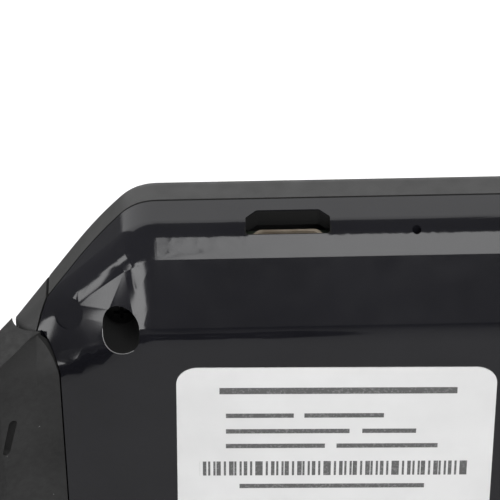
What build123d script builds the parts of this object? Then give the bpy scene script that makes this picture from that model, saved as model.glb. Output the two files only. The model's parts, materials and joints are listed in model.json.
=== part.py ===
from build123d import *
import math
import os

# A wrist-worn wireless call receiver: a two-shell case with a display and three keys,
# its electronics, and a two-piece strap with a pin buckle.
#
# Everything is modelled lying in the watch frame, in millimetres:
#   x  along the strap, +x towards the six o'clock end with the keys and the strap tail
#   y  towards the long side with the charging port
#   z  from the flat wrist side of the case, at 0, up to the dial
# The finished pieces are stood up together by one placement at the end: the receiver
# stands on its lower long side with the port side up and the dial facing -Y, and leans
# back until the buckle touches the same surface.

# ---------------------------------------------------------------- case, outside
case_height = 12.8
case_half_width = 22.5
case_half_length = 30.3
end_run = 11.6
corner_x = case_half_length - end_run
tip_half_width = 11.6
corner_radius = 5.0
dial_edge_radius = 1.0

arch_run = 12.2
arch_start = case_half_length - arch_run
arch_radius = 10.5
arch_angle = 36.0

shoulder_level = 4.3
shoulder_radius = 3.6
flat_corner_run = 12.3
flat_corner_x = case_half_length - flat_corner_run
flat_half_width = 13.8
flat_tip_run = 0.8
flat_tip_x = case_half_length - flat_tip_run
flat_tip_half_width = 8.5
flat_corner_radius = 3.0
flat_edge_radius = 4.0

# ---------------------------------------------------------------- shells
band_height = 3.15
seam_gap = 0.22
wall = 1.8
floor = 1.4
roof = 2.2
end_wall = 1.5
floor_slope_inset = 0.9
cavity_knee = 1.0
gasket_inset = 0.35
gasket_width = 1.0
cheek_run = 3.1
cheek_foot_run = 1.7
cheek_line = ((case_half_length - cheek_run, 5.7), (case_half_length - cheek_foot_run, 2.4))
lug_notch_x = case_half_length - cheek_run
lug_notch_width = 0.35
lug_notch_depth = 0.6

# ---------------------------------------------------------------- strap pivots and bays
bar_run = 2.8
bar_x = case_half_length - bar_run
bar_z = 5.5
bar_radius = 0.8
bar_tip_radius = 0.45
running_clearance = 0.05
horn_inner = 10.1
horn_radius = 2.65
horn_hole_depth = 1.2
pivot_clearance = 0.3
head_side_clearance = 0.15
head_mid_radius = 2.4
head_side_radius = 1.65
mouth_run = 1.5
mouth_x = bar_x - mouth_run
mouth_half_width = 13.5
mouth_corner_radius = 4.5
mouth_top = 3.0
mouth_floor = 2.75
bay_x = bar_x - head_mid_radius - pivot_clearance
cavity_half_length = bay_x - end_wall

# ---------------------------------------------------------------- case screws
screw_run = 10.1
screw_x = case_half_length - screw_run
screw_y = 14.1
screw_recess_radius = 1.7
screw_recess_stretch = 0.8
screw_post_wall = 1.1
screw_seat_z = 4.6
screw_seat_thickness = 1.2
screw_hole_radius = 0.95
screw_head_radius = 1.4
screw_head_height = 1.1
screw_shank_radius = 0.8
screw_length = 5.2
screw_thread_clearance = 0.03
cross_width = 0.35
cross_length = 1.5
cross_depth = 0.6
boss_radius = 2.2
boss_gap = 0.05

# gate_place is the middle of the shallow round moulding mark on one corner of the back.
gate_run = 4.8
gate_place = (case_half_length - gate_run, 15.0, 2.3)
gate_radius = 1.5
gate_depth = 0.12

# ---------------------------------------------------------------- board and port
board_z = 7.0
board_thickness = 0.8
board_top = board_z + board_thickness
roof_z = case_height - roof
board_screw_gap = 3.0
board_half_length = screw_x - board_screw_gap
board_side_gap = 0.7
board_half_width = case_half_width - wall - board_side_gap
board_end_gap = 0.4
board_wing_half_length = cavity_half_length - board_end_gap
board_wing_half_width = 8.6
board_post_radius = 1.0
board_post_inset = 1.1
board_post_run = 1.5
board_post_x = board_half_length - board_post_run
board_post_y = board_half_width - board_post_inset

port_x = 4.6
port_width = 7.8
port_low = 4.85
port_high = 7.8
port_chamfer_z = 6.75
port_dial_width = 5.8
port_corner = 0.35
socket_wide = 7.5
socket_narrow = 5.5
socket_height = 2.4
socket_depth = 5.6
socket_recess = 1.7
socket_fit = 0.15
socket_skin = 0.28
socket_corner = 0.7
socket_knee_share = 0.45
tongue_width = 3.7
tongue_thickness = 0.6
tongue_length = 3.6

pinhole_x = -7.25
pinhole_z = 5.0
pinhole_radius = 0.42
reset_body = (4.2, 3.2)
reset_plunger_radius = 0.6
reset_plunger_height = 1.0
reset_travel = 0.25
reset_gap = 0.3
reset_wall = 2.7
reset_pocket_fit = 0.3

# ---------------------------------------------------------------- display and keys
key_run = 4.2
key_x = arch_start - key_run
lens_key_gap = 4.6
lens_run = 2.4
lens_side_run = 5.5
lens_right = key_x - lens_key_gap
lens_left = lens_run - arch_start
lens_x = (lens_left + lens_right) / 2
lens_length = lens_right - lens_left
lens_width = 2 * (case_half_width - lens_side_run)
lens_radius = 2.2
lens_thickness = 1.0
lens_recess = 0.3
lens_low = case_height - lens_recess - lens_thickness
lens_fit = 0.12
lens_ledge = 1.4
panel_margin = 1.0
panel_thickness = 1.5
backlight_thickness = 1.2
frame_wall = 0.9
frame_fit = 0.1

key_pitch = 10.6
key_length = 7.4
key_width = 3.4
key_fit = 0.2
key_recess = 0.1
key_flange = 0.55
key_flange_height = 0.5
key_stem_radius = 0.9
key_travel = 0.4
key_travel_spare = 0.1
key_edge_radius = 0.35
switch_size = 3.6
switch_height = 1.2

# ---------------------------------------------------------------- inside the case
buzzer_end_gap = 0.5
buzzer_radius = 3.3
buzzer_x = buzzer_end_gap + buzzer_radius - cavity_half_length
buzzer_height = 2.2
buzzer_port_radius = 0.6

battery_gap = 0.2
battery_length = 22.0
battery_width = 23.0
battery_thickness = 4.3
battery_radius = 1.2
battery_x = buzzer_x + buzzer_radius + battery_gap + battery_length / 2
pad_thickness = 0.3
pad_inset = 1.5

motor_run = 4.0
motor_x = board_half_length - motor_run
motor_y = -8.6
motor_z = 4.0
motor_radius = 2.0
motor_length = 8.0
motor_shaft_radius = 0.35
weight_gap = 0.5
weight_length = 3.0
weight_radius = 1.9
cradle_width = 3.2
cradle_length = 5.0

radio_run = 10.9
radio_x = case_half_length - radio_run
radio_length = 5.6
radio_width = 11.0
radio_thickness = 0.6
radio_can_height = 1.1
antenna_length = 12.0
antenna_width = 5.0
antenna_strip = 0.8
antenna_corner = 1.2
antenna_height = 1.6
antenna_run = 4.9
antenna_x = board_half_length - antenna_run
chip_size = 4.5
chip_height = 0.5
chip_inset = 2.8
chip_y = board_half_width - chip_inset
antenna_drop = 9.6
antenna_y = chip_y - antenna_drop
chip_runs = (2.6, 5.2, 6.2)
chip_places = [
    (chip_runs[0] - board_half_length, chip_y - chip_runs[1]),
    (board_half_length - chip_runs[2], chip_y),
    (0.0, -chip_y),
]

# ---------------------------------------------------------------- label
label_length = 30.0
label_width = 20.0
label_radius = 2.0
label_thickness = 0.1
label_turn = 1.16
label_place = (0.43, -0.18)

# ---------------------------------------------------------------- strap
strap_lean = 46.0
strap_lead = 3.0
strap_half_width = 10.2
strap_shoulder_half_width = 12.8
strap_shoulder_run = 1.1
strap_shoulder_x = bar_x + strap_shoulder_run
strap_neck_run = 9.0
strap_neck_x = bar_x + strap_neck_run
strap_shoulder_clearance = 0.45
heel_gap = 0.15
heel_flush = 0.06
heel_merge_s = 8.5
heel_blend = 1.3
# heel_stations lists, from the mouth outwards, where the heel's side slope starts, its level there and its rise.
heel_stations = [(-1.0, 10.8, 0.06, 1.4), (2.2, 9.6, -0.15, 2.4), (5.8, 9.4, -1.85, 0.2), (8.0, 9.4, -5.0, 0.05)]
strap_head_half_thickness = 2.15
strap_half_thickness = 1.3
strap_taper_length = 24.0
strap_bend_radius = 38.0
buckle_strap_length = 52.0
tail_bend_length = 76.0
tail_open_radius = 70.0
tail_length = 98.0
tail_tip_radius = 10.2
spline_step = 6.0

hole_start = 44.0
hole_pitch = 6.2
hole_count = 8
hole_length = 3.2
hole_width = 2.2

release_slot_s = 7.7
release_slot_y = 2.9
release_slot_length = 4.0
release_slot_width = 0.8
release_slot_depth = 0.5
release_slot_turn = 15.0

# ---------------------------------------------------------------- buckle and keepers
buckle_bar_radius = 0.75
buckle_eye_radius = 1.8
buckle_arm_gap = 0.25
buckle_arm_width = 2.2
buckle_reach = 11.5
buckle_heel = 2.0
buckle_thickness = 2.6
buckle_corner_radius = 2.6
buckle_edge = 0.3
buckle_bar_inset = 0.75
tongue_slot_half_width = 1.5
tongue_slot_length = 8.0
pin_half_width = 1.1
pin_eye_radius = 1.55
pin_thickness = 0.9
pin_overhang = 0.6
pin_rest_gap = 0.06
pin_tip_radius = 0.9

keeper_wall = 1.1
keeper_length = 4.2
keeper_edge_radius = 0.75
keeper_edge_spread = 1.3
keeper_fit = 0.3
fixed_keeper_s = 43.0
fixed_keeper_fit = 0.02
loose_keeper_s = 31.5

# far reaches past the whole receiver; same is how close two measures must be to count as one.
far = 60.0
same = 1e-4


# ---------------------------------------------------------------- helpers
def octagon(corner, tip, radius, level):
    """Case outline in plan, with its four long-side corners rounded."""
    (cx, cy), (tx, ty) = corner, tip
    quarter = [(cx, cy), (tx, ty)]
    right = quarter + [(x, -y) for x, y in reversed(quarter)]
    points = right + [(-x, y) for x, y in reversed(right)]
    outline = make_face(Polyline(*points, close=True))
    turns = [v for v in outline.vertices() if abs(abs(v.X) - cx) < same]
    return Pos(0, 0, level) * fillet(turns, radius)


def case_outline(level):
    return octagon((corner_x, case_half_width), (case_half_length, tip_half_width), corner_radius, level)


def under_arch(drop):
    """Everything below the arched dial surface, lowered by drop."""
    top = case_height - drop
    turn = math.radians(arch_angle)
    end_x = arch_start + arch_radius * math.sin(turn)
    end_z = top - arch_radius * (1 - math.cos(turn))
    mid_x = arch_start + arch_radius * math.sin(turn / 2)
    mid_z = top - arch_radius * (1 - math.cos(turn / 2))
    foot_x = case_half_length + wall
    foot_z = end_z - (foot_x - end_x) * math.tan(turn)
    outline = [
        Line((-arch_start, top), (arch_start, top)),
        ThreePointArc((arch_start, top), (mid_x, mid_z), (end_x, end_z)),
        Line((end_x, end_z), (foot_x, foot_z)),
        Line((foot_x, foot_z), (foot_x, -case_height)),
        Line((foot_x, -case_height), (-foot_x, -case_height)),
        Line((-foot_x, -case_height), (-foot_x, foot_z)),
        Line((-foot_x, foot_z), (-end_x, end_z)),
        ThreePointArc((-end_x, end_z), (-mid_x, mid_z), (-arch_start, top)),
    ]
    profile = Plane.XZ * make_face(outline)
    return extrude(profile, case_half_width + wall, both=True)


def under_seam(drop, gap):
    """Everything of the case that belongs below the seam, which dives down the outside of each lug."""
    (top_x, top_z), (low_x, low_z) = cheek_line
    outline = Polyline(
        (top_x - gap, far), (top_x - gap, top_z), (low_x - gap, low_z), (far, low_z), (far, far), close=True
    )
    cheek = extrude(Plane.XZ * make_face(outline), far, both=True)
    return under_arch(drop) - cheek - mirror(cheek, about=Plane.YZ)


def offset_line_y(x, inset):
    """y of the case's corner line moved inwards by inset, at x."""
    slope = (tip_half_width - case_half_width) / (case_half_length - corner_x)
    return case_half_width + slope * (x - corner_x) - inset * math.hypot(1, slope)


def inset_octagon(inset, half_length, level):
    """Case outline moved inwards by inset and cut off at half_length."""
    slope = (tip_half_width - case_half_width) / (case_half_length - corner_x)
    side = case_half_width - inset
    turn_x = corner_x + (side - offset_line_y(corner_x, inset)) / slope
    tip = (half_length, offset_line_y(half_length, inset))
    return octagon((turn_x, side), tip, corner_radius - inset, level)


def four_places(x, y):
    return [(sx * x, sy * y) for sx in (-1, 1) for sy in (-1, 1)]


def post(x, y, low, high, radius):
    return Pos(x, y, low) * Cylinder(radius, high - low, align=(Align.CENTER, Align.CENTER, Align.MIN))


def slab(x, y, low, size_x, size_y, size_z):
    return Pos(x, y, low) * Box(size_x, size_y, size_z, align=(Align.CENTER, Align.CENTER, Align.MIN))


def screw_recess(x, y, low, high, radius):
    """Upright post, a little longer across the case than along it."""
    plan = Rot(0, 0, 90) * SlotOverall(2 * radius + screw_recess_stretch, 2 * radius)
    return Pos(x, y, low) * extrude(plan, high - low)


def both_ends(shape):
    return shape + mirror(shape, about=Plane.YZ)


# ---------------------------------------------------------------- strap path
def path_state(s, bends):
    """Point (x, z) and heading of the strap's middle line at length s from its pivot.
    bends lists (radius, length) of each arc after the straight lead."""
    heading = -math.radians(strap_lean)
    run = min(s, strap_lead)
    x = bar_x + run * math.cos(heading)
    z = bar_z + run * math.sin(heading)
    left = s - run
    for radius, length in bends:
        run = min(left, length)
        centre_x = x + radius * math.sin(heading)
        centre_z = z - radius * math.cos(heading)
        heading -= run / radius
        x = centre_x - radius * math.sin(heading)
        z = centre_z + radius * math.cos(heading)
        left -= run
    return x, z, heading


def strap_frame(s, bends):
    """Location on the strap: local x along it, local z out of its outer face."""
    x, z, heading = path_state(s, bends)
    along = (math.cos(heading), 0, math.sin(heading))
    out = (-math.sin(heading), 0, math.cos(heading))
    return Plane(origin=(x, 0, z), x_dir=along, z_dir=out).location


def half_thickness(s):
    share = max(0.0, 1 - s / strap_taper_length)
    return strap_half_thickness + (strap_head_half_thickness - strap_half_thickness) * share ** 2


def strap_edge_point(s, side, bends):
    x, z, heading = path_state(s, bends)
    reach = side * half_thickness(s)
    return (x - reach * math.sin(heading), z + reach * math.cos(heading))


def strap_profile(length, bends):
    """Side view of the strap from its pivot to length."""
    count = math.ceil(length / spline_step)
    stations = [length * i / count for i in range(count + 1)]
    outer = [strap_edge_point(s, 1, bends) for s in stations]
    inner = [strap_edge_point(s, -1, bends) for s in stations]
    outline = [
        Spline(*outer),
        Line(outer[-1], inner[-1]),
        Spline(*inner),
        Line(inner[0], outer[0]),
    ]
    return Plane.XZ * make_face(outline)


def barrel(mid_radius, side_radius, half_width):
    """Strap head: a turned barrel on the spring bar, thickest in the middle."""
    outline = [
        Line((-half_width, 0), (half_width, 0)),
        Line((half_width, 0), (half_width, side_radius)),
        ThreePointArc((half_width, side_radius), (0, mid_radius), (-half_width, side_radius)),
        Line((-half_width, side_radius), (-half_width, 0)),
    ]
    turned = revolve(make_face(outline), Axis.X)
    return Pos(bar_x, 0, bar_z) * Rot(0, 0, 90) * turned


def strap_heel(bends):
    """Thick inner side of the strap's head. It fills the case's mouth flush with the flat back,
    bends out along the strap and slopes up towards both sides as the case's shoulder does."""
    low_x = mouth_x + heel_gap
    merge_x, merge_z = strap_edge_point(heel_merge_s, -1, bends)
    inside_x, inside_z, _ = path_state(heel_merge_s, bends)
    drop = heel_flush - merge_z
    run = merge_x - low_x
    radius = (drop**2 + run**2) / (2 * drop)
    turn = math.atan2(drop, run)
    middle = (low_x + radius * math.sin(turn), heel_flush - radius * (1 - math.cos(turn)))
    outline = [
        ThreePointArc((low_x, heel_flush), middle, (merge_x, merge_z)),
        Line((merge_x, merge_z), (inside_x, inside_z)),
        Line((inside_x, inside_z), (bar_x, bar_z)),
        Line((bar_x, bar_z), (low_x, mouth_floor)),
        Line((low_x, mouth_floor), (low_x, heel_flush)),
    ]
    heel = extrude(Plane.XZ * make_face(outline), strap_shoulder_half_width, both=True)
    heel &= Pos(0, 0, -far) * extrude(mouth_plan(heel_gap), 2 * far)
    slope = heel_slope()
    return heel - slope - mirror(slope, about=Plane.XZ)


def heel_slope():
    """What the +y side's slope takes off the heel."""
    sections = []
    for offset, start_y, level, rise in heel_stations:
        side_y = strap_shoulder_half_width
        slope = math.atan2(rise, side_y - start_y)
        on_slope = (start_y + heel_blend * math.cos(slope), level + heel_blend * math.sin(slope))
        start = (start_y - heel_blend, level)
        side = (side_y + wall, level + rise + wall * math.tan(slope))
        outline = [
            TangentArc(start, on_slope, tangent=(1, 0)),
            Line(on_slope, side),
            Line(side, (side[0], -far)),
            Line((side[0], -far), (start[0], -far)),
            Line((start[0], -far), start),
        ]
        sections.append((Plane.YZ.offset(mouth_x + offset) * make_face(outline)).faces()[0])
    return loft(sections, ruled=True)


def strap_half(length, bends):
    """One half of the strap with its head, shoulders and pivot bore."""
    profile = strap_profile(length, bends)
    head_half_width = horn_inner - head_side_clearance
    neck = extrude(profile, head_half_width, both=True)
    keep_out = Pos(bar_x, 0, bar_z) * Rot(90, 0, 0) * Cylinder(horn_radius + strap_shoulder_clearance, far)
    band = extrude(profile, strap_half_width, both=True)
    shoulder_plan = make_face(
        Polyline(
            (mouth_x, strap_shoulder_half_width),
            (strap_shoulder_x, strap_shoulder_half_width),
            (strap_neck_x, strap_half_width),
            (strap_neck_x, -strap_half_width),
            (strap_shoulder_x, -strap_shoulder_half_width),
            (mouth_x, -strap_shoulder_half_width),
            close=True,
        )
    )
    shoulder_room = Pos(0, 0, bar_z - strap_bend_radius / 2) * extrude(shoulder_plan, strap_bend_radius)
    wide = extrude(profile, strap_shoulder_half_width, both=True)
    shoulders = (wide + strap_heel(bends)) & shoulder_room
    head = barrel(head_mid_radius, head_side_radius, head_half_width)
    strap = (band + shoulders) - keep_out + neck + head
    bore = Pos(bar_x, 0, bar_z) * Rot(90, 0, 0) * Cylinder(bar_radius + running_clearance, far)
    slot = extrude(SlotOverall(release_slot_length, release_slot_width), release_slot_depth * 2, both=True)
    slot_place = strap_frame(release_slot_s, bends) * Pos(0, release_slot_y, -half_thickness(release_slot_s))
    return strap - bore - slot_place * Rot(0, 0, 90 + release_slot_turn) * slot


# ---------------------------------------------------------------- case shells
def case_block():
    """Outside of the closed case, with its dial edge rounded."""
    block = back_block() & under_arch(0)
    rim = [e for e in block.edges() if e.center().Z > shoulder_level + shoulder_radius and not is_upright(e)]
    rim = [e for e in rim if on_outline(e)]
    return fillet(rim, dial_edge_radius)


def is_upright(edge):
    low, high = edge.position_at(0), edge.position_at(1)
    return math.hypot(low.X - high.X, low.Y - high.Y) < same


def on_outline(edge):
    """True for an edge on the case's side walls rather than across its top."""
    middle = edge.position_at(0.5)
    side = abs(abs(middle.Y) - case_half_width) < same
    end = abs(abs(middle.X) - case_half_length) < same
    near_corner = abs(middle.Y) > offset_line_y(abs(middle.X), corner_radius / 2)
    return side or end or (near_corner and abs(middle.X) > arch_start / 2)


def back_block():
    """Outside of the back shell: flat back, sloping shoulders and upright walls, all blended."""
    flat = octagon((flat_corner_x, flat_half_width), (flat_tip_x, flat_tip_half_width), flat_corner_radius, 0)
    rim = case_outline(shoulder_level)
    block = loft([flat.faces()[0], rim.faces()[0]], ruled=True) + extrude(rim, case_height)
    block = fillet(level_edges(block, shoulder_level), shoulder_radius)
    return fillet(level_edges(block, 0), flat_edge_radius)


def level_edges(shape, level):
    return [
        e
        for e in shape.edges()
        if all(abs(e.position_at(t).Z - level) < same for t in (0, 0.5, 1))
    ]


def back_cavity():
    low = octagon(
        (flat_corner_x - floor_slope_inset, flat_half_width - floor_slope_inset),
        (cavity_half_length - floor_slope_inset, flat_half_width - floor_slope_inset - wall),
        flat_corner_radius,
        floor,
    )
    high = inset_octagon(wall, cavity_half_length, shoulder_level + cavity_knee)
    return loft([low.faces()[0], high.faces()[0]], ruled=True) + extrude(high, case_height)


def bay_plan(half_width):
    """Plan of the space for the strap head at the +x end."""
    side_x = bar_x - head_side_radius - pivot_clearance
    outline = [
        ThreePointArc((side_x, -half_width), (bay_x, 0), (side_x, half_width)),
        Line((side_x, half_width), (far, half_width)),
        Line((far, half_width), (far, -half_width)),
        Line((far, -half_width), (side_x, -half_width)),
    ]
    return make_face(outline)


def mouth_plan(inset):
    """Plan of the opening in the wrist side that the strap's heel fills, moved inwards by inset."""
    width = 2 * (mouth_half_width - inset)
    plan = Pos(mouth_x + inset + far / 2, 0) * Rectangle(far, width)
    return fillet([v for v in plan.vertices() if v.X < bar_x], mouth_corner_radius - inset)


def strap_bay():
    """All that is cut from the case at the +x end: the bay, its mouth and the lug rounding."""
    bay = Pos(0, 0, mouth_floor) * extrude(bay_plan(horn_inner), case_height * 2)
    mouth = Pos(0, 0, mouth_top) * extrude(mouth_plan(0), -case_height)
    lug = Pos(bar_x, 0, bar_z) * Rot(90, 0, 0) * Cylinder(horn_radius, far)
    beyond = slab(bar_x + far / 2, 0, bar_z - far, far, far, far) - lug
    hole = Pos(bar_x, 0, bar_z) * Rot(90, 0, 0) * Cylinder(
        bar_tip_radius + running_clearance, 2 * (horn_inner + horn_hole_depth)
    )
    return bay + mouth + beyond + hole


def port_plan():
    """Charging port cut-out in the wall, seen along y, its dial-side corners cut off."""
    half = port_width / 2
    dial_half = port_dial_width / 2
    outline = Polyline(
        (-half, port_low),
        (half, port_low),
        (half, port_chamfer_z),
        (dial_half, port_high),
        (-dial_half, port_high),
        (-half, port_chamfer_z),
        close=True,
    )
    face = make_face(outline)
    return Pos(port_x, 0, 0) * Plane.XZ * fillet(face.vertices(), port_corner)


def socket_room():
    """Room behind the wall for the charging socket."""
    low = board_z - socket_height - socket_fit
    depth = socket_depth + socket_fit
    middle = socket_mouth_y() + socket_fit - depth / 2
    return slab(port_x, middle, low, socket_wide + 2 * socket_fit, depth, board_z - low)


def wall_cuts():
    port = extrude(port_plan(), -case_half_width * 2) + socket_room()
    pinhole = Rot(90, 0, 0) * Cylinder(pinhole_radius, reset_wall * 3)
    return port + Pos(pinhole_x, case_half_width, pinhole_z) * pinhole


def lug_notches():
    """Narrow notch across the front shell's side where the lug strip begins."""
    depth = lug_notch_depth * 2
    y = offset_line_y(lug_notch_x, 0)
    slope = math.degrees(math.atan2(corner_x - case_half_length, case_half_width - tip_half_width))
    notch = Box(lug_notch_width, depth, far)
    cuts = Part()
    for sx in (-1, 1):
        for sy in (-1, 1):
            cuts += Pos(sx * lug_notch_x, sy * y, 0) * Rot(0, 0, -sx * sy * (90 + slope)) * notch
    return cuts


def window_sketch(grow, radius):
    return Pos(lens_x, 0, 0) * RectangleRounded(lens_length + 2 * grow, lens_width + 2 * grow, radius)


def key_places():
    return [(key_x, i * key_pitch) for i in (-1, 0, 1)]


def key_sketch(grow):
    return Rot(0, 0, 90) * SlotOverall(key_length + 2 * grow, key_width + 2 * grow)


def make_front_shell():
    shell = case_block() - under_seam(band_height, 0)
    cavity = extrude(inset_octagon(wall, cavity_half_length, 0), case_height) & under_arch(roof)
    shell -= cavity
    boss_room = under_arch(roof / 2)
    for x, y in four_places(screw_x, screw_y):
        foot = screw_seat_z + screw_seat_thickness + boss_gap
        shell += post(x, y, foot, case_height, boss_radius) & boss_room
    for x, y in four_places(board_post_x, board_post_y):
        shell += post(x, y, board_top, case_height - roof / 2, board_post_radius)
    pilot = screw_shank_radius + screw_thread_clearance
    for x, y in four_places(screw_x, screw_y):
        shell -= post(x, y, 0, screw_seat_z + screw_length + boss_gap, pilot)
    shell -= Pos(0, 0, lens_low) * extrude(window_sketch(0, lens_radius), case_height)
    shell -= extrude(window_sketch(-lens_ledge, lens_radius - lens_ledge / 2), case_height)
    for x, y in key_places():
        shell -= Pos(x, y, 0) * extrude(key_sketch(key_fit), case_height * 2)
    shell -= both_ends(strap_bay())
    shell -= wall_cuts()
    shell -= lug_notches()
    return shell


def gate_mark(outside):
    """Shallow round mark, square to the surface it lies on."""
    near = Vector(*gate_place)
    face = min(outside.faces(), key=lambda f: f.distance_to(near))
    spot = face.closest_points(Vertex(near))[0]
    disc = Cylinder(gate_radius, 2 * gate_depth)
    return Plane(origin=spot, z_dir=face.normal_at(spot)).location * disc


def make_back_shell():
    outside = back_block()
    trimmed = (outside & under_seam(band_height + seam_gap, seam_gap)) - gate_mark(outside)
    cavity = back_cavity()
    seat_top = screw_seat_z + screw_seat_thickness
    for x, y in four_places(screw_x, screw_y):
        cavity -= post(x, y, 0, seat_top, screw_recess_radius + screw_post_wall)
    for x, y in four_places(board_post_x, board_post_y):
        cavity -= post(x, y, 0, board_z, board_post_radius)
    cradle = slab(motor_x, motor_y, floor / 2, cradle_width, cradle_length, motor_z - floor / 2)
    motor_room = Pos(motor_x, motor_y, motor_z) * Rot(90, 0, 0) * Cylinder(motor_radius, far)
    cavity -= cradle - motor_room
    shell = trimmed - cavity - make_reset_pocket()
    for x, y in four_places(screw_x, screw_y):
        shell -= screw_recess(x, y, -case_height, screw_seat_z, screw_recess_radius)
        shell -= post(x, y, 0, case_height, screw_hole_radius)
    shell -= both_ends(strap_bay())
    shell -= wall_cuts()
    return shell


def make_seam_gasket():
    outer_length = bay_x - gasket_inset
    outer = extrude(inset_octagon(gasket_inset, outer_length, 0), case_height * 2)
    inner_plan = inset_octagon(gasket_inset + gasket_width, outer_length - gasket_width, 0)
    inner = extrude(inner_plan, case_height * 2)
    between = under_arch(band_height) - under_arch(band_height + seam_gap)
    return (outer - inner) & between - both_ends(strap_bay()) - wall_cuts()


def make_case_screws():
    screws = []
    for x, y in four_places(screw_x, screw_y):
        head = post(x, y, screw_seat_z - screw_head_height, screw_seat_z, screw_head_radius)
        shank = post(x, y, screw_seat_z, screw_seat_z + screw_length, screw_shank_radius)
        cross_z = screw_seat_z - screw_head_height
        cross = slab(x, y, cross_z, cross_length, cross_width, cross_depth)
        cross += slab(x, y, cross_z, cross_width, cross_length, cross_depth)
        screws.append(head + shank - cross)
    return Compound(children=screws)


# ---------------------------------------------------------------- display and keys
def make_display_lens():
    return Pos(0, 0, lens_low) * extrude(window_sketch(-lens_fit, lens_radius - lens_fit), lens_thickness)


def make_display_panel():
    grow = panel_margin - lens_ledge
    low = board_top + backlight_thickness
    return Pos(0, 0, low) * extrude(window_sketch(grow, lens_radius / 2), roof_z - low)


def make_display_backlight():
    grow = panel_margin - lens_ledge
    return Pos(0, 0, board_top) * extrude(window_sketch(grow, lens_radius / 2), backlight_thickness)


def make_display_frame():
    inner = panel_margin - lens_ledge + frame_fit
    ring = window_sketch(inner + frame_wall, lens_radius / 2 + frame_wall)
    ring -= window_sketch(inner, lens_radius / 2)
    return Pos(0, 0, board_top) * extrude(ring, roof_z - board_top)


def make_key(y):
    flange_top = roof_z - key_travel_spare
    flange = Pos(0, 0, flange_top - key_flange_height) * extrude(key_sketch(key_flange), key_flange_height)
    cap_height = case_height - key_recess - flange_top
    cap = Pos(0, 0, flange_top) * extrude(key_sketch(0), cap_height)
    crown = [e for e in cap.edges() if abs(e.center().Z - flange_top - cap_height) < same]
    cap = fillet(crown, key_edge_radius)
    stem_top = flange_top - key_flange_height
    stem_low = board_top + switch_height + key_travel + key_travel_spare
    stem = post(0, 0, stem_low, stem_top, key_stem_radius)
    return Pos(key_x, y, 0) * (flange + cap + stem)


def make_key_switches():
    bodies = []
    for x, y in key_places():
        body = slab(x, y, board_top, switch_size, switch_size, switch_height - key_travel_spare)
        bodies.append(body + post(x, y, board_top, board_top + switch_height, key_stem_radius))
    return Compound(children=bodies)


# ---------------------------------------------------------------- electronics
def make_main_board():
    board = slab(0, 0, board_z, 2 * board_half_length, 2 * board_half_width, board_thickness)
    board += slab(0, 0, board_z, 2 * board_wing_half_length, 2 * board_wing_half_width, board_thickness)
    upright = [e for e in board.edges() if is_upright(e)]
    return fillet(upright, board_post_radius / 2)


def make_board_chips():
    chips = [slab(x, y, board_z - chip_height, chip_size, chip_size, chip_height) for x, y in chip_places]
    return Compound(children=chips)


def socket_profile(skin):
    """Charging socket seen along y: wide on the wrist side, narrow next to the board."""
    top = board_z - skin
    low = board_z - socket_height + skin
    wide = socket_wide / 2 - skin
    narrow = socket_narrow / 2 - skin
    knee = low + (top - low) * socket_knee_share
    outline = Polyline(
        (-wide, low), (wide, low), (wide, knee), (narrow, top), (-narrow, top), (-wide, knee), close=True
    )
    face = make_face(outline)
    return Pos(port_x, 0, 0) * Plane.XZ * fillet(face.vertices(), socket_corner - skin)


def socket_mouth_y():
    return case_half_width - socket_recess


def make_usb_socket_shell():
    mouth = socket_mouth_y()
    outside = Pos(0, mouth, 0) * extrude(socket_profile(0), socket_depth)
    inside = Pos(0, mouth, 0) * extrude(socket_profile(socket_skin), socket_depth - socket_skin)
    return outside - inside


def make_usb_socket_tongue():
    back = socket_mouth_y() - socket_depth + socket_skin
    z = board_z - socket_height / 2 + socket_skin
    root_z = board_z - socket_height + socket_skin
    root = slab(port_x, back + socket_skin, root_z, tongue_width, 2 * socket_skin, z - root_z)
    blade = slab(port_x, back + tongue_length / 2, z, tongue_width, tongue_length, tongue_thickness)
    return blade + root


def make_battery():
    low = floor + pad_thickness
    sketch = Pos(battery_x, 0, 0) * RectangleRounded(battery_length, battery_width, battery_radius)
    cell = Pos(0, 0, low) * extrude(sketch, battery_thickness)
    rims = [e for e in cell.edges() if not is_upright(e)]
    return fillet(rims, battery_radius / 2)


def make_battery_pad():
    sketch = RectangleRounded(battery_length - pad_inset, battery_width - pad_inset, battery_radius)
    return Pos(battery_x, 0, floor) * extrude(sketch, pad_thickness)


def make_vibration_motor():
    can = Pos(motor_x, motor_y, motor_z) * Rot(90, 0, 0) * Cylinder(motor_radius, motor_length)
    shaft_length = weight_gap + weight_length
    shaft_y = motor_y + motor_length / 2 + shaft_length / 2
    shaft = Pos(motor_x, shaft_y, motor_z) * Rot(90, 0, 0) * Cylinder(motor_shaft_radius, shaft_length)
    return can + shaft


def make_motor_weight():
    y = motor_y + motor_length / 2 + weight_gap + weight_length / 2
    disc = Cylinder(weight_radius, weight_length)
    half = disc - Pos(0, weight_radius + motor_shaft_radius, 0) * Box(far, 2 * weight_radius, far)
    hub = Cylinder(motor_shaft_radius * 2, weight_length)
    bore = Cylinder(motor_shaft_radius + running_clearance / 2, far)
    return Pos(motor_x, y, motor_z) * Rot(-90, 0, 0) * (half + hub - bore)


def make_buzzer():
    body = post(buzzer_x, 0, board_z - buzzer_height, board_z, buzzer_radius)
    port = post(buzzer_x, 0, board_z - buzzer_height, board_z - buzzer_height / 2, buzzer_port_radius)
    return body - port


def make_radio_board():
    top = board_z - radio_can_height / 2
    spacer = slab(radio_x, 0, top, radio_length / 2, radio_width / 2, board_z - top)
    board = slab(radio_x, 0, top - radio_thickness, radio_length, radio_width, radio_thickness)
    can_low = top - radio_thickness - radio_can_height
    can = slab(radio_x, 0, can_low, radio_length - wall, radio_width - wall, radio_can_height)
    return spacer + board + can


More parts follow.
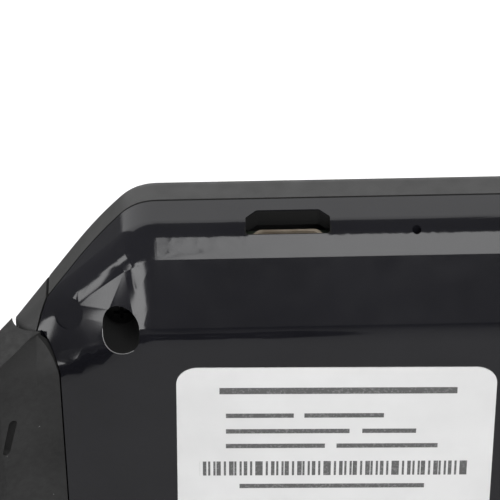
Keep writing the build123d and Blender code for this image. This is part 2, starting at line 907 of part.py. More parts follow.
def make_antenna_loop():
    outer = RectangleRounded(antenna_width, antenna_length, antenna_corner)
    inner_width = antenna_width - 2 * antenna_strip
    inner = RectangleRounded(inner_width, antenna_length - 2 * antenna_strip, antenna_strip / 2)
    gap = Pos(0, antenna_length / 2, 0) * Rectangle(antenna_strip * 2, antenna_strip * 4)
    strip = extrude(outer - inner - gap, antenna_height)
    return Pos(antenna_x, antenna_y, board_z - antenna_height) * strip


def reset_low():
    return pinhole_z - reset_plunger_radius


def make_reset_switch():
    front = case_half_width - reset_wall - reset_gap - reset_plunger_height
    width, depth = reset_body
    return slab(pinhole_x, front - depth / 2, reset_low(), width, depth, board_z - reset_low())


def make_reset_pocket():
    """Room in the back shell's shoulder for the reset switch."""
    width, depth = reset_body
    low = reset_low() - reset_pocket_fit
    end = case_half_width - reset_wall
    back = end - reset_gap - reset_plunger_height - depth - reset_pocket_fit
    middle = (end + back) / 2
    return slab(pinhole_x, middle, low, width + 2 * reset_pocket_fit, end - back, board_z - low)


def make_reset_plunger():
    front = case_half_width - reset_wall - reset_gap
    back = front - reset_plunger_height + reset_travel + running_clearance
    middle = (front + back) / 2
    return Pos(pinhole_x, middle, pinhole_z) * Rot(90, 0, 0) * Cylinder(reset_plunger_radius, front - back)


# ---------------------------------------------------------------- label
def make_back_label():
    x, y = label_place
    sketch = Rot(0, 0, label_turn) * RectangleRounded(label_length, label_width, label_radius)
    return Pos(x, y, -label_thickness) * extrude(sketch, label_thickness)


# ---------------------------------------------------------------- strap pieces
def buckle_bends():
    return [(strap_bend_radius, buckle_strap_length)]


def tail_bends():
    return [(strap_bend_radius, tail_bend_length), (tail_open_radius, tail_length)]


def make_spring_bar():
    """Spring bar at the +x end: a tube with a thin tip in each lug."""
    tube_half = horn_inner - head_side_clearance
    tip_half = horn_inner + horn_hole_depth - pivot_clearance
    tube = Rot(90, 0, 0) * Cylinder(bar_radius, 2 * tube_half)
    tips = Rot(90, 0, 0) * Cylinder(bar_tip_radius, 2 * tip_half)
    return Pos(bar_x, 0, bar_z) * (tube + tips)


def make_strap_tail():
    bends = tail_bends()
    strap = strap_half(tail_length, bends)
    tip_frame = strap_frame(tail_length - tail_tip_radius, bends)
    beyond = Pos(tail_tip_radius, 0, 0) * Box(2 * tail_tip_radius, far, far)
    strap -= tip_frame * (beyond - Cylinder(tail_tip_radius, far * 2))
    for i in range(hole_count):
        place = strap_frame(hole_start + i * hole_pitch, bends)
        strap -= place * Rot(0, 0, 90) * extrude(SlotOverall(hole_length, hole_width), wall * 3, both=True)
    return strap


def make_buckle_strap():
    """Short half of the strap, at the +x end until it is mirrored."""
    bends = buckle_bends()
    end = strap_frame(buckle_strap_length, bends)
    strap = strap_half(buckle_strap_length, bends)
    strap += end * Rot(90, 0, 0) * Cylinder(buckle_eye_radius, 2 * strap_half_width)
    slot_room = tongue_slot_length + buckle_eye_radius
    slot = Box(slot_room, 2 * tongue_slot_half_width, far / 2)
    strap -= end * Pos(buckle_eye_radius - slot_room / 2, 0, 0) * slot
    return strap - end * Rot(90, 0, 0) * Cylinder(buckle_bar_radius + running_clearance, far)


def buckle_half_width():
    return strap_half_width + buckle_arm_gap + buckle_arm_width


def buckle_place():
    return strap_frame(buckle_strap_length, buckle_bends())


def make_buckle_bar():
    half = buckle_half_width() - buckle_bar_inset
    return buckle_place() * Rot(90, 0, 0) * Cylinder(buckle_bar_radius, 2 * half)


def make_buckle_frame():
    half = buckle_half_width()
    inner_half = half - buckle_arm_width
    length = buckle_reach + buckle_heel
    middle = (buckle_reach - buckle_heel) / 2
    outer = Pos(middle, 0, 0) * Rectangle(length, 2 * half)
    outer = fillet(outer.vertices(), buckle_corner_radius)
    inner_reach = buckle_reach - buckle_thickness
    inner = Pos(inner_reach - far / 2, 0, 0) * Rectangle(far, 2 * inner_half)
    frame = extrude(outer - inner, buckle_thickness / 2, both=True)
    rims = [e for e in frame.edges() if abs(abs(e.center().Z) - buckle_thickness / 2) < same]
    frame = chamfer(rims, buckle_edge)
    hole_half = buckle_half_width() - buckle_bar_inset + running_clearance
    hole = Rot(90, 0, 0) * Cylinder(buckle_bar_radius + running_clearance, 2 * hole_half)
    return buckle_place() * (frame - hole)


def make_buckle_tongue():
    """Pin that lies on the frame's far bar and turns on the same bar as the frame."""
    rest_z = buckle_thickness / 2 + pin_rest_gap
    tip_x = buckle_reach + pin_overhang
    eye = Rot(90, 0, 0) * Cylinder(pin_eye_radius, 2 * pin_half_width)
    bend_x = buckle_reach - buckle_thickness
    outline = Polyline(
        (0, pin_eye_radius - pin_thickness),
        (0, pin_eye_radius),
        (bend_x, rest_z + pin_thickness),
        (tip_x, rest_z + pin_thickness),
        (tip_x, rest_z),
        (bend_x, rest_z),
        close=True,
    )
    shaft = extrude(Plane.XZ * make_face(outline), pin_half_width, both=True)
    tip = [e for e in shaft.edges() if abs(e.center().X - tip_x) < same]
    shaft = fillet([e for e in tip if abs(e.center().Y) > pin_half_width / 2], pin_tip_radius)
    bore = Rot(90, 0, 0) * Cylinder(buckle_bar_radius + running_clearance, far)
    return buckle_place() * (eye + shaft - bore)


def bend_centre():
    x, z, heading = path_state(strap_lead, buckle_bends())
    radius = strap_bend_radius
    return x + radius * math.sin(heading), z - radius * math.cos(heading)


def ring_piece(inner_radius, outer_radius, half_width, s, length):
    """Block that follows the strap's bend: an annular sector centred at length s."""
    centre_x, centre_z = bend_centre()
    heading = path_state(s, buckle_bends())[2]
    spread = length / strap_bend_radius / 2
    low = heading + math.pi / 2 - spread
    high = heading + math.pi / 2 + spread

    def at(radius, angle):
        return (centre_x + radius * math.cos(angle), centre_z + radius * math.sin(angle))

    middle = (low + high) / 2
    outline = [
        ThreePointArc(at(outer_radius, low), at(outer_radius, middle), at(outer_radius, high)),
        Line(at(outer_radius, high), at(inner_radius, high)),
        ThreePointArc(at(inner_radius, high), at(inner_radius, middle), at(inner_radius, low)),
        Line(at(inner_radius, low), at(outer_radius, low)),
    ]
    return extrude(Plane.XZ * make_face(outline), half_width, both=True)


def make_keeper(s, fit):
    """Loop round the short strap with room above it for the tail."""
    inner = strap_bend_radius - strap_half_thickness - fit
    outer = strap_bend_radius + 3 * strap_half_thickness + 2 * keeper_fit
    half = strap_half_width + fit
    body = ring_piece(inner - keeper_wall, outer + keeper_wall, half + keeper_wall, s, keeper_length)
    edges = [e for e in body.edges() if abs(e.center().Y) > half and not is_across(e)]
    body = fillet(edges, keeper_edge_radius)
    return body - ring_piece(inner, outer, half, s, keeper_length * 2)


def is_across(edge):
    """True for a keeper's edges that run across the strap or through its thickness."""
    if abs(edge.position_at(0).Y - edge.position_at(1).Y) > same:
        return True
    return not keeper_length / keeper_edge_spread < edge.length < keeper_length * keeper_edge_spread


# ---------------------------------------------------------------- standing pose
def resting_lean():
    """Lean at which the case's lower shoulder and the buckle's lower corner rest on one level."""
    slope = math.atan2(shoulder_level, case_half_width - flat_half_width)
    case_y = -(case_half_width - shoulder_radius)
    case_z = shoulder_level + shoulder_radius * math.tan((math.pi / 2 - slope) / 2)
    x, z, heading = path_state(buckle_strap_length, buckle_bends())
    buckle_y = -(buckle_half_width() - buckle_corner_radius)
    reach = buckle_reach - buckle_corner_radius
    out = buckle_thickness / 2 - buckle_edge
    buckle_z = z + reach * math.sin(heading) + out * math.cos(heading)
    rise = buckle_y - case_y
    run = case_z - buckle_z
    span = math.hypot(rise, run)
    return math.degrees(math.acos((buckle_corner_radius - shoulder_radius) / span) - math.atan2(run, rise))


def assemble():
    pieces = {
        "front_shell": make_front_shell(),
        "back_shell": make_back_shell(),
        "seam_gasket": make_seam_gasket(),
        "case_screws": make_case_screws(),
        "display_lens": make_display_lens(),
        "display_panel": make_display_panel(),
        "display_backlight": make_display_backlight(),
        "display_frame": make_display_frame(),
        "key_switches": make_key_switches(),
        "main_board": make_main_board(),
        "board_chips": make_board_chips(),
        "usb_socket_shell": make_usb_socket_shell(),
        "usb_socket_tongue": make_usb_socket_tongue(),
        "battery": make_battery(),
        "battery_pad": make_battery_pad(),
        "vibration_motor": make_vibration_motor(),
        "motor_weight": make_motor_weight(),
        "buzzer": make_buzzer(),
        "radio_board": make_radio_board(),
        "antenna_loop": make_antenna_loop(),
        "reset_switch": make_reset_switch(),
        "reset_plunger": make_reset_plunger(),
        "back_label": make_back_label(),
        "spring_bar_tail": make_spring_bar(),
        "spring_bar_buckle": mirror(make_spring_bar(), about=Plane.YZ),
        "strap_tail": make_strap_tail(),
        "strap_buckle_side": mirror(make_buckle_strap(), about=Plane.YZ),
        "buckle_bar": mirror(make_buckle_bar(), about=Plane.YZ),
        "buckle_frame": mirror(make_buckle_frame(), about=Plane.YZ),
        "buckle_tongue": mirror(make_buckle_tongue(), about=Plane.YZ),
        "fixed_keeper": mirror(make_keeper(fixed_keeper_s, fixed_keeper_fit), about=Plane.YZ),
        "loose_keeper": mirror(make_keeper(loose_keeper_s, keeper_fit), about=Plane.YZ),
    }
    for name, (x, y) in zip(("key_left", "key_middle", "key_right"), key_places()):
        pieces[name] = make_key(y)
    return pieces


def stand_up(pieces):
    """Stand the lying receiver on its lower long side and put its base on z = 0."""
    upright = Rot(-resting_lean(), 0, 0) * Rot(90, 0, 0)
    stood = {name: upright * piece for name, piece in pieces.items()}
    boxes = [piece.bounding_box() for piece in stood.values()]
    low_x, high_x = min(b.min.X for b in boxes), max(b.max.X for b in boxes)
    low_y, high_y = min(b.min.Y for b in boxes), max(b.max.Y for b in boxes)
    low_z = min(b.min.Z for b in boxes)
    shift = Pos(-(low_x + high_x) / 2, -(low_y + high_y) / 2, -low_z)
    return {name: shift * piece for name, piece in stood.items()}, shift


def main():
    pieces, shift = stand_up(assemble())
    os.makedirs("parts", exist_ok=True)
    for name, piece in pieces.items():
        export_step(piece, f"parts/{name}.step")
    print("lean", round(resting_lean(), 3), "shift", shift.position)


main()
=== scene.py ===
"""Wrist-worn call receiver: materials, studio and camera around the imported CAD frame."""
import json
import math

import bpy
import bmesh
from mathutils import Matrix, Vector


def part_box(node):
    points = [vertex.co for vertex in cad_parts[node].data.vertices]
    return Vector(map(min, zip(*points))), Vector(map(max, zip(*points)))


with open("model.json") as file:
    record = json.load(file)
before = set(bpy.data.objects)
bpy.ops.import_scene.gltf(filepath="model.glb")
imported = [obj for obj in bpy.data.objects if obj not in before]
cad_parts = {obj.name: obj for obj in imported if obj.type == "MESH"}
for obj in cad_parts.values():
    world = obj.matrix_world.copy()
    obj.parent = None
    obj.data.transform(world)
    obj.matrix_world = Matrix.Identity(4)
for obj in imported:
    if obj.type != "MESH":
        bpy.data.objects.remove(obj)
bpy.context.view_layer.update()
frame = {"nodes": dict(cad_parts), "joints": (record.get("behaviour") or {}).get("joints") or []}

MM = 0.001
nodes = frame["nodes"]
joints = {joint["name"]: joint for joint in frame["joints"]}

# ---------------------------------------------------------------- the receiver's own frame, in millimetres
# x along the strap, y towards the charging port, z from the flat back to the dial.
ALONG = Vector((1, 0, 0))
TO_PORT = -Vector(joints["reset_press"]["axis"])
TO_DIAL = -Vector(joints["key_left_press"]["axis"])
LABEL_CENTRE = (0.43, -0.18)
LABEL_THICKNESS = 0.1
label_low, label_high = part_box("back_label")
label_foot = (label_low + label_high) / 2 + TO_DIAL * (LABEL_THICKNESS / 2) * MM
ORIGIN = label_foot - (ALONG * LABEL_CENTRE[0] + TO_PORT * LABEL_CENTRE[1]) * MM


def turn(x, y, z):
    """Row-frame direction of a direction in the receiver's frame."""
    return ALONG * x + TO_PORT * y + TO_DIAL * z


def place(x, y, z):
    """Row-frame point, in metres, of a point given in millimetres in the receiver's frame."""
    return ORIGIN + turn(x, y, z) * MM


# ---------------------------------------------------------------- camera
# Degrees, and millimetres from the middle of the back. It stands where the photograph was taken.
CAMERA_TILT = 40.0
CAMERA_SWING = -0.17
CAMERA_ROLL = -1.24
CAMERA_DISTANCE = 329.8
CAMERA_OFFSET = (-8.51, 18.43)
CAMERA_FOCAL_PIXELS = 3474.0
IMAGE_PIXELS = 500
SENSOR_WIDTH = 36.0
CLIP_METRES = (0.01, 20.0)


def make_camera():
    """Camera tilted from the back towards the port, then swung and rolled a little."""
    tilt, swing, roll = (math.radians(angle) for angle in (CAMERA_TILT, CAMERA_SWING, CAMERA_ROLL))
    flat = math.cos(swing)
    back = Vector((math.sin(swing), math.sin(tilt) * flat, -math.cos(tilt) * flat))
    level = Vector((0, 1, 0)).cross(back).normalized()
    steep = back.cross(level)
    right = level * math.cos(roll) + steep * math.sin(roll)
    up = steep * math.cos(roll) - level * math.sin(roll)
    spot = right * CAMERA_OFFSET[0] + up * CAMERA_OFFSET[1] + back * CAMERA_DISTANCE
    axes = Matrix([turn(*right), turn(*up), turn(*back)]).transposed()

    data = bpy.data.cameras.new("camera")
    data.sensor_width = SENSOR_WIDTH
    data.lens = CAMERA_FOCAL_PIXELS * SENSOR_WIDTH / IMAGE_PIXELS
    data.clip_start, data.clip_end = CLIP_METRES
    camera = bpy.data.objects.new("camera", data)
    bpy.context.scene.collection.objects.link(camera)
    camera.matrix_world = Matrix.Translation(place(*spot)) @ axes.to_4x4()
    bpy.context.scene.camera = camera


# ---------------------------------------------------------------- node helpers
# Noise lies mostly between these values: the wide span gives soft clouds, the narrow one clear ones.
NOISE_WIDE = (0.3, 0.7)
NOISE_NARROW = (0.35, 0.65)


class Nodes:
    """The node tree of a material or world being built. Most calls add a node and return its output."""

    def __init__(self, owner):
        owner.use_nodes = True
        self.tree = owner.node_tree

    def node(self, kind, **fields):
        made = self.tree.nodes.new(kind)
        for key, value in fields.items():
            setattr(made, key, value)
        return made

    def feed(self, socket, value):
        """Links a socket to another node's output, or sets it to a plain value."""
        if isinstance(value, bpy.types.NodeSocket):
            self.tree.links.new(value, socket)
        else:
            socket.default_value = value

    def math(self, operation, *values):
        made = self.node("ShaderNodeMath", operation=operation)
        for socket, value in zip(made.inputs, values):
            self.feed(socket, value)
        return made.outputs[0]

    def both(self, first, second):
        """Mask that is 1 where two masks are, or the product of two values."""
        return self.math("MULTIPLY", first, second)

    def either(self, first, second):
        """Mask that is 1 where one of two masks is, or the larger of two values."""
        return self.math("MAXIMUM", first, second)

    def between(self, value, low, high):
        """Mask that is 1 where a value lies between two limits."""
        return self.both(self.math("GREATER_THAN", value, low), self.math("LESS_THAN", value, high))

    def ramp(self, value, low, high, start=0.0, end=1.0):
        """Straight ramp from start to end as a value goes from low to high."""
        made = self.node("ShaderNodeMapRange")
        self.feed(made.inputs["Value"], value)
        for key, number in (("From Min", low), ("From Max", high), ("To Min", start), ("To Max", end)):
            made.inputs[key].default_value = number
        return made.outputs[0]

    def shade(self, kind, **inputs):
        """Shader node with some inputs set by name."""
        made = self.node(kind)
        for key, value in inputs.items():
            self.feed(made.inputs[key], value)
        return made.outputs[0]

    def join(self, kind, *values):
        """Shader node with its inputs given in their order."""
        made = self.node(kind)
        for socket, value in zip(made.inputs, values):
            self.feed(socket, value)
        return made.outputs[0]


class Paint(Nodes):
    """A principled material being built, with sizes in millimetres."""

    def __init__(self, name, color, roughness, **settings):
        self.material = bpy.data.materials.new(name)
        super().__init__(self.material)
        self.shader = self.tree.nodes["Principled BSDF"]
        self.shader.inputs["Base Color"].default_value = (*color, 1)
        self.shader.inputs["Roughness"].default_value = roughness
        for key, value in settings.items():
            self.shader.inputs[key.replace("_", " ")].default_value = value
        self.where = self.node("ShaderNodeTexCoord").outputs["Object"]
        self.skin = None
        self.relief = None

    def along(self, direction):
        """Distance from the receiver's origin along one of its directions."""
        moved = self.node("ShaderNodeVectorMath", operation="SUBTRACT")
        self.feed(moved.inputs[0], self.where)
        moved.inputs[1].default_value = ORIGIN
        dot = self.node("ShaderNodeVectorMath", operation="DOT_PRODUCT")
        self.feed(dot.inputs[0], moved.outputs[0])
        dot.inputs[1].default_value = direction / MM
        return dot.outputs["Value"]

    def within(self, *spans):
        """Mask that is 1 inside a box of spans along x, y and z."""
        mask = 1.0
        for direction, (low, high) in zip((ALONG, TO_PORT, TO_DIAL), spans):
            mask = self.both(mask, self.between(self.along(direction), low, high))
        return mask

    def from_slots(self, x, y, reach):
        """Offsets from the nearest of four slots at +-x and +-y, and the distance to its middle line."""
        dx = self.math("SUBTRACT", self.math("ABSOLUTE", self.along(ALONG)), x)
        dy = self.math("SUBTRACT", self.math("ABSOLUTE", self.along(TO_PORT)), y)
        past = self.math("MAXIMUM", self.math("SUBTRACT", self.math("ABSOLUTE", dy), reach), 0.0)
        square = self.math("ADD", self.math("MULTIPLY", dx, dx), self.math("MULTIPLY", past, past))
        return dx, dy, self.math("SQRT", square)

    def noise(self, size, detail=2.0):
        """Fractal noise with features of a size."""
        made = self.node("ShaderNodeTexNoise")
        self.feed(made.inputs["Vector"], self.where)
        made.inputs["Scale"].default_value = 1 / (size * MM)
        made.inputs["Detail"].default_value = detail
        return made.outputs["Fac"]

    def specks(self, spacing, radius, share):
        """Mask of small scattered dots: share of the cells hold one."""
        made = self.node("ShaderNodeTexVoronoi", feature="F1")
        self.feed(made.inputs["Vector"], self.where)
        made.inputs["Scale"].default_value = 1 / (spacing * MM)
        near = self.math("LESS_THAN", made.outputs["Distance"], radius / spacing)
        split = self.node("ShaderNodeSeparateColor")
        self.feed(split.inputs[0], made.outputs["Color"])
        return self.both(near, self.math("LESS_THAN", split.outputs[0], share))

    def mix(self, share, first, second):
        """Colour from the first to the second as share goes from 0 to 1."""
        made = self.node("ShaderNodeMix", data_type="RGBA")
        self.feed(made.inputs["Factor"], share)
        for socket, value in ((made.inputs[6], first), (made.inputs[7], second)):
            self.feed(socket, (*value, 1) if isinstance(value, tuple) else value)
        return made.outputs[2]

    def clouds(self, size, dark, light, detail=3.0, span=NOISE_WIDE):
        """Colour that drifts between two in clouds of a size."""
        return self.mix(self.ramp(self.noise(size, detail), *span), dark, light)

    def uneven(self, size, low, high, detail=3.0):
        """Value that drifts between two in patches of a size."""
        return self.ramp(self.noise(size, detail), *NOISE_WIDE, low, high)

    def color(self, value):
        self.skin = value
        self.feed(self.shader.inputs["Base Color"], value)

    def roughness(self, value):
        self.feed(self.shader.inputs["Roughness"], value)

    def bump(self, height, depth):
        """Adds a relief to the ones before, with a depth for a height from 0 to 1."""
        made = self.node("ShaderNodeBump")
        made.inputs["Distance"].default_value = depth * MM
        self.feed(made.inputs["Height"], height)
        if self.relief is not None:
            self.feed(made.inputs["Normal"], self.relief)
        self.relief = made.outputs[0]
        self.feed(self.shader.inputs["Normal"], self.relief)


def grey(level):
    """Linear grey of an sRGB level from 0 to 255."""
    c = level / 255
    c = c / 12.92 if c <= 0.04045 else ((c + 0.055) / 1.055) ** 2.4
    return (c, c, c)


def srgb(r, g, b):
    """Linear colour of three sRGB levels from 0 to 255."""
    return tuple(grey(level)[0] for level in (r, g, b))


# ---------------------------------------------------------------- general materials
def wear(name, dark, light, rough, grain, depth, cloud, **settings):
    """Moulded or metal surface with clouds of colour, a fine grain and a roughness between two limits."""
    paint = Paint(name, dark, rough[0], **settings)
    paint.color(paint.clouds(cloud, dark, light, span=NOISE_NARROW))
    paint.roughness(paint.uneven(cloud / 3, *rough))
    paint.bump(paint.noise(grain), depth)
    return paint


def metal(name, dark, light, rough, **settings):
    """Bare or plated metal."""
    return wear(name, dark, light, rough, grain=0.25, depth=0.004, cloud=1.6, Metallic=1.0, **settings)


def plastic(name, dark, light, rough=(0.4, 0.55), **settings):
    """Moulded plastic, board or foam."""
    return wear(name, dark, light, rough, grain=0.2, depth=0.006, cloud=3.0, **settings)


def strap_rubber(name, level):
    """Matte rubber with a fine skin, faint clouds and pale dust, around a grey level."""
    paint = Paint(name, grey(level), 0.62, Specular_IOR_Level=0.35)
    cloudy = paint.clouds(6.0, grey(level - 5), grey(level + 6), detail=4.0)
    coarse_dust = paint.specks(spacing=1.7, radius=0.07, share=0.10)
    fine_dust = paint.specks(spacing=0.8, radius=0.03, share=0.10)
    paint.color(paint.mix(paint.either(coarse_dust, fine_dust), cloudy, grey(205)))
    paint.roughness(paint.uneven(0.7, low=0.52, high=0.72))
    paint.bump(paint.noise(0.22, detail=3.0), depth=0.012)
    paint.bump(paint.noise(0.07), depth=0.006)
    return paint


# ---------------------------------------------------------------- case
# The port's recess, short of the outer wall, and the screw recesses: four slots up to the edge and the
# floor, whose insides are painted near-black as painted shade, with a painted highlight on the rim on the
# side towards the strap and the middle of the case.
PORT_PAINTED_SHADE = ((0.6, 8.6), (-30.0, 22.38), (4.8, 7.9))
SCREW_PLACE = (20.2, 14.1)
SCREW_REACH = 0.4
SCREW_EDGE = 1.705
SCREW_FLOOR = 9.0
RIM_EDGE = 1.78
RIM_FACING = (0.5, 0.85)
RIM_START = 0.9
INSIDE_ROUGHNESS = 0.9


def front_plastic():
    """Matte spark-eroded plastic of the dial side, with a little dust."""
    paint = wear("front_plastic", grey(45), grey(50), (0.42, 0.55), grain=0.12, depth=0.012, cloud=5.0)
    dust = paint.specks(spacing=1.9, radius=0.05, share=0.05)
    paint.color(paint.mix(dust, paint.skin, grey(190)))
    return paint


def back_plastic():
    """Satin black plastic with dust, a painted highlight on the screw recesses' rims, and painted shade
    inside the port and screw recesses.
    """
    paint = Paint("back_plastic", grey(22), 0.12, Specular_IOR_Level=0.36)
    skin = paint.clouds(9.0, srgb(17, 17, 21), srgb(22, 22, 26), span=NOISE_NARROW)
    dust = paint.specks(spacing=2.6, radius=0.045, share=0.03)
    skin = paint.mix(dust, skin, grey(170))

    dx, dy, off = paint.from_slots(*SCREW_PLACE, SCREW_REACH)
    facing = paint.math(
        "SUBTRACT",
        paint.math("MULTIPLY", dx, RIM_FACING[0]),
        paint.math("MULTIPLY", dy, RIM_FACING[1]),
    )
    # Painted highlight: a thin pale ring on the screw recesses' rims, on the side where the rounded edge
    # catches the light.
    rim_highlight = paint.both(paint.between(off, SCREW_EDGE, RIM_EDGE), paint.math("GREATER_THAN", facing, RIM_START))
    skin = paint.mix(rim_highlight, skin, grey(120))

    # Painted shade: the insides of the port and screw recesses are coloured near-black and made rough.
    short_of_floor = paint.math("LESS_THAN", paint.along(TO_DIAL), SCREW_FLOOR)
    screw_recess_shade = paint.both(paint.math("LESS_THAN", off, SCREW_EDGE), short_of_floor)
    recess_shade = paint.either(paint.within(*PORT_PAINTED_SHADE), screw_recess_shade)
    paint.color(paint.mix(recess_shade, skin, grey(8)))
    satin = paint.uneven(2.5, low=0.09, high=0.13, detail=4.0)
    paint.roughness(paint.either(satin, paint.math("MULTIPLY", recess_shade, INSIDE_ROUGHNESS)))
    paint.bump(paint.noise(5.0), depth=0.005)
    paint.bump(paint.noise(1.6, detail=3.0), depth=0.001)
    return paint


# ---------------------------------------------------------------- label
# Degrees, and millimetres to the right and up from the receiver's origin, as the photograph shows the back.
# A rule has its left, right and middle height, a block its left, right, low and high, and the bars of the
# strip a pitch and the dark share of it.
LABEL_TURN = 1.16
HEADING = (-11.4, 10.9, 6.55, 7.35)
RULE_HALF_HEIGHT = 0.28
RULES = (
    (-10.8, -4.4, 3.8), (-3.4, 4.1, 3.8),
    (-10.8, 0.9, 1.8), (2.1, 7.2, 1.8),
    (-10.8, -1.4, -0.1), (-0.3, 9.3, -0.1),
    (-9.5, 8.2, -5.35),
)
BAR_STRIP = (-13.3, 12.2, -3.95, -2.1)
BAR_PITCHES = ((0.5, 0.42), (1.3, 0.26))


def label_film():
    """White film with plain grey rules and an even bar strip in place of print."""
    paint = Paint("label_film", grey(232), 0.42, Specular_IOR_Level=0.4)
    angle = math.radians(LABEL_TURN)
    u = paint.along(turn(-math.cos(angle), -math.sin(angle), 0))
    v = paint.along(turn(-math.sin(angle), math.cos(angle), 0))

    def block(left, right, low, high):
        return paint.both(paint.between(u, left, right), paint.between(v, low, high))

    def bars(pitch, share):
        return paint.math("LESS_THAN", paint.math("FRACT", paint.math("MULTIPLY", u, 1 / pitch)), share)

    ink = block(*HEADING)
    for left, right, middle in RULES:
        ink = paint.either(ink, block(left, right, middle - RULE_HALF_HEIGHT, middle + RULE_HALF_HEIGHT))
    close, sparse = (bars(pitch, share) for pitch, share in BAR_PITCHES)
    ink = paint.either(ink, paint.both(paint.either(close, sparse), block(*BAR_STRIP)))

    film = paint.clouds(5.0, grey(218), grey(224))
    wear_of_ink = paint.ramp(paint.noise(0.25), 0.25, 0.5, start=0.75, end=0.92)
    paint.color(paint.mix(paint.both(ink, wear_of_ink), film, grey(62)))
    paint.roughness(paint.ramp(ink, 0.0, 1.0, start=0.45, end=0.32))
    paint.bump(paint.noise(0.4), depth=0.002)
    return paint


# ---------------------------------------------------------------- which node wears what
def dress(paint, *names):
    """Gives nodes of the frame a material in place of their own."""
    for name in names:
        mesh = nodes[name].data
        mesh.materials.clear()
        mesh.materials.append(paint.material)


def dress_case():
    dress(front_plastic(), "front_shell")
    dress(back_plastic(), "back_shell")
    dress(label_film(), "back_label")
    dress(plastic("gasket", grey(18), grey(24), (0.7, 0.8)), "seam_gasket")
    dress(metal("screw_steel", grey(26), grey(38), (0.35, 0.5)), "case_screws")


def dress_strap():
    dress(strap_rubber("strap_rubber", 34), "strap_tail", "strap_buckle_side")
    dress(strap_rubber("keeper_rubber", 33), "fixed_keeper", "loose_keeper")
    buckle_steel = metal("buckle_steel", grey(58), grey(70), (0.28, 0.4))
    dress(buckle_steel, "buckle_frame", "buckle_tongue", "buckle_bar")
    dress(metal("bar_steel", grey(150), grey(170), (0.25, 0.35)), "spring_bar_tail", "spring_bar_buckle")


def dress_dial():
    dress(plastic("key_plastic", grey(40), grey(46), (0.3, 0.4)), "key_left", "key_middle", "key_right")
    dress(plastic("lens", grey(16), grey(20), (0.05, 0.08), Coat_Weight=0.5), "display_lens")
    dress(plastic("panel", srgb(36, 44, 42), srgb(44, 52, 50), (0.2, 0.3)), "display_panel")
    dress(plastic("backlight", grey(215), grey(225)), "display_backlight")
    dress(plastic("display_frame", grey(30), grey(36)), "display_frame")


def dress_charging_socket():
    dark, light = srgb(150, 138, 122), srgb(178, 166, 150)
    steel = wear("socket_steel", dark, light, (0.3, 0.45), grain=0.25, depth=0.002, cloud=1.2, Metallic=0.4)
    dress(steel, "usb_socket_shell")
    dress(plastic("socket_tongue", grey(28), grey(36)), "usb_socket_tongue")


def dress_inside():
    dress(plastic("switch_body", grey(36), grey(44)), "key_switches")
    dress(plastic("reset_body", grey(34), grey(42)), "reset_switch")
    dress(plastic("plunger", grey(196), grey(206)), "reset_plunger")
    dress(plastic("board", srgb(34, 40, 34), srgb(44, 50, 42), (0.35, 0.5)), "main_board")
    dress(plastic("chips", grey(28), grey(34), (0.45, 0.6)), "board_chips")
    dress(metal("battery_foil", grey(170), grey(195), (0.25, 0.4)), "battery")
    dress(plastic("foam", grey(30), grey(44), (0.8, 0.95)), "battery_pad")
    dress(metal("motor_steel", grey(165), grey(185), (0.2, 0.35)), "vibration_motor")
    dress(metal("weight_metal", grey(110), grey(125), (0.35, 0.5)), "motor_weight")
    dress(plastic("buzzer", grey(24), grey(30), (0.3, 0.4)), "buzzer")
    dress(metal("radio_can", grey(165), grey(180), (0.3, 0.4)), "radio_board")
    dress(metal("antenna_copper", srgb(184, 116, 60), srgb(200, 132, 74), (0.25, 0.4)), "antenna_loop")


# ---------------------------------------------------------------- world and floor, in metres
# Spans are distances from the floor's middle: gloss shows a sheen that falls from one level to the other,
# and to the camera the floor fades to white.
WORLD_LIGHT = 0.22
WHITE = (1, 1, 1, 1)
FLOOR_RADIUS = 6.0
FLOOR_CORNERS = 96
FLOOR_GAP = 0.00005
FLOOR_PAPER = (0.9, 0.9, 0.9, 1)
FLOOR_GLOW = 0.2
SHEEN_SPAN, SHEEN_LEVELS = (0.02, 0.25), (0.7, 0.05)
FADE_SPAN = (0.12, 0.45)


def make_world():
    """White behind the object for the camera, and a dim even light for everything else."""
    world = bpy.data.worlds.new("studio")
    bpy.context.scene.world = world
    sky = Nodes(world)
    sky.tree.nodes.clear()
    rays = sky.node("ShaderNodeLightPath").outputs
    dim = sky.shade("ShaderNodeBackground", Color=WHITE, Strength=WORLD_LIGHT)
    white = sky.shade("ShaderNodeBackground", Color=WHITE, Strength=1.0)
    seen = sky.join("ShaderNodeMixShader", rays["Is Camera Ray"], dim, white)
    sky.feed(sky.node("ShaderNodeOutputWorld").inputs["Surface"], seen)


def floor_material():
    """Pale paper that fades to white for the camera, and darkens away from the object in reflections."""
    material = bpy.data.materials.new("floor")
    paint = Nodes(material)
    paint.tree.nodes.clear()
    rays = paint.node("ShaderNodeLightPath").outputs
    away = paint.node("ShaderNodeVectorMath", operation="LENGTH")
    paint.feed(away.inputs[0], paint.node("ShaderNodeTexCoord").outputs["Object"])

    paper = paint.shade("ShaderNodeBsdfDiffuse", Color=FLOOR_PAPER)
    unlit = paint.shade("ShaderNodeEmission", Strength=0.0)
    glow = paint.shade("ShaderNodeEmission", Strength=FLOOR_GLOW)
    glow = paint.join("ShaderNodeMixShader", rays["Is Camera Ray"], unlit, glow)
    near = paint.join("ShaderNodeAddShader", paper, glow)

    sheen = paint.ramp(away.outputs["Value"], *SHEEN_SPAN, *SHEEN_LEVELS)
    sheen = paint.shade("ShaderNodeEmission", Strength=sheen)
    near = paint.join("ShaderNodeMixShader", rays["Is Glossy Ray"], near, sheen)

    far = paint.both(paint.ramp(away.outputs["Value"], *FADE_SPAN), rays["Is Camera Ray"])
    white = paint.shade("ShaderNodeEmission", Strength=1.0)
    seen = paint.join("ShaderNodeMixShader", far, near, white)
    paint.feed(paint.node("ShaderNodeOutputMaterial").inputs["Surface"], seen)
    return material


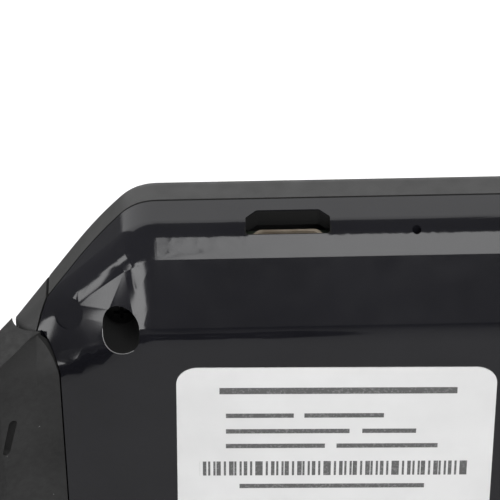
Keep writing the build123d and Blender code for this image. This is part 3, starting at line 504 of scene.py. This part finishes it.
def make_floor():
    mesh = bpy.data.meshes.new("floor")
    shape = bmesh.new()
    bmesh.ops.create_circle(shape, cap_ends=True, segments=FLOOR_CORNERS, radius=FLOOR_RADIUS)
    shape.to_mesh(mesh)
    shape.free()
    mesh.materials.append(floor_material())
    floor = bpy.data.objects.new("floor", mesh)
    bpy.context.scene.collection.objects.link(floor)
    floor.location = (0, 0, -FLOOR_GAP)


# ---------------------------------------------------------------- lamps, in metres and degrees
# The key light spans its ends along x of the row frame. Cards aim at the case's corner in the photograph.
LAMP_CENTRE = place(0, 0, 5)
CARD_CENTRE = place(20, 17, 4)
KEY_ENDS = (-0.40, 0.045)
KEY_HEIGHT = 0.84
BACK_SIZE = (1.6, 0.85)


def above(x, side, elevation, distance):
    """Point at an elevation over the port's side, 1, or the other side, -1, at an x of the row frame."""
    angle = math.radians(elevation)
    reach = side * distance * math.cos(angle)
    return Vector((x, LAMP_CENTRE.y + reach, LAMP_CENTRE.z + distance * math.sin(angle)))


def softbox(name, middle, target, size, radiance, matte=True, gloss=True):
    """Rectangular lamp facing a target, which lights matte colours, shows in gloss, or both."""
    width, height = size
    data = bpy.data.lights.new(name, "AREA")
    data.shape = "RECTANGLE"
    data.size = width
    data.size_y = height
    data.energy = radiance * math.pi * width * height
    lamp = bpy.data.objects.new(name, data)
    bpy.context.scene.collection.objects.link(lamp)
    lamp.location = middle
    lamp.rotation_euler = (Vector(target) - Vector(middle)).to_track_quat("-Z", "Y").to_euler()
    lamp.visible_camera = False
    lamp.visible_diffuse = matte
    lamp.visible_glossy = gloss


def card(name, azimuth, elevation, spread, radiance, distance=0.7, matte=False, gloss=True):
    """Softbox placed and sized by the angles at which the case's corner sees it, azimuth from +x."""
    a, e = math.radians(azimuth), math.radians(elevation)
    way = Vector((math.cos(e) * math.cos(a), math.cos(e) * math.sin(a), math.sin(e)))
    size = [2 * distance * math.tan(math.radians(angle) / 2) for angle in spread]
    softbox(name, CARD_CENTRE + way * distance, CARD_CENTRE, size, radiance, matte, gloss)


def make_lamps():
    """Key light, light from behind, a fill from the case's end, and cards for the corner's reflections."""
    key = above(sum(KEY_ENDS) / 2, side=1, elevation=38, distance=0.7)
    key_target = Vector((key.x, LAMP_CENTRE.y, LAMP_CENTRE.z))
    softbox("key_panel", key, key_target, (KEY_ENDS[1] - KEY_ENDS[0], KEY_HEIGHT), radiance=5.3)
    behind = above(0, side=-1, elevation=37, distance=0.9)
    softbox("back_panel", behind, LAMP_CENTRE, BACK_SIZE, radiance=1.3)
    card(
        "end_fill", azimuth=0.0, elevation=18.0, spread=(28.0, 28.0), radiance=11.0,
        distance=1.0, matte=True, gloss=False,
    )
    card("corner_card", azimuth=47.5, elevation=2.0, spread=(9.0, 10.0), radiance=6.0)
    card("lug_card", azimuth=26.5, elevation=15.5, spread=(13.0, 9.0), radiance=6.0)
    card("bend_card", azimuth=69.0, elevation=1.0, spread=(14.0, 14.0), radiance=6.8)


make_camera()
dress_case()
dress_strap()
dress_dial()
dress_charging_socket()
dress_inside()
make_world()
make_floor()
make_lamps()

bpy.context.scene.view_settings.view_transform = "Standard"
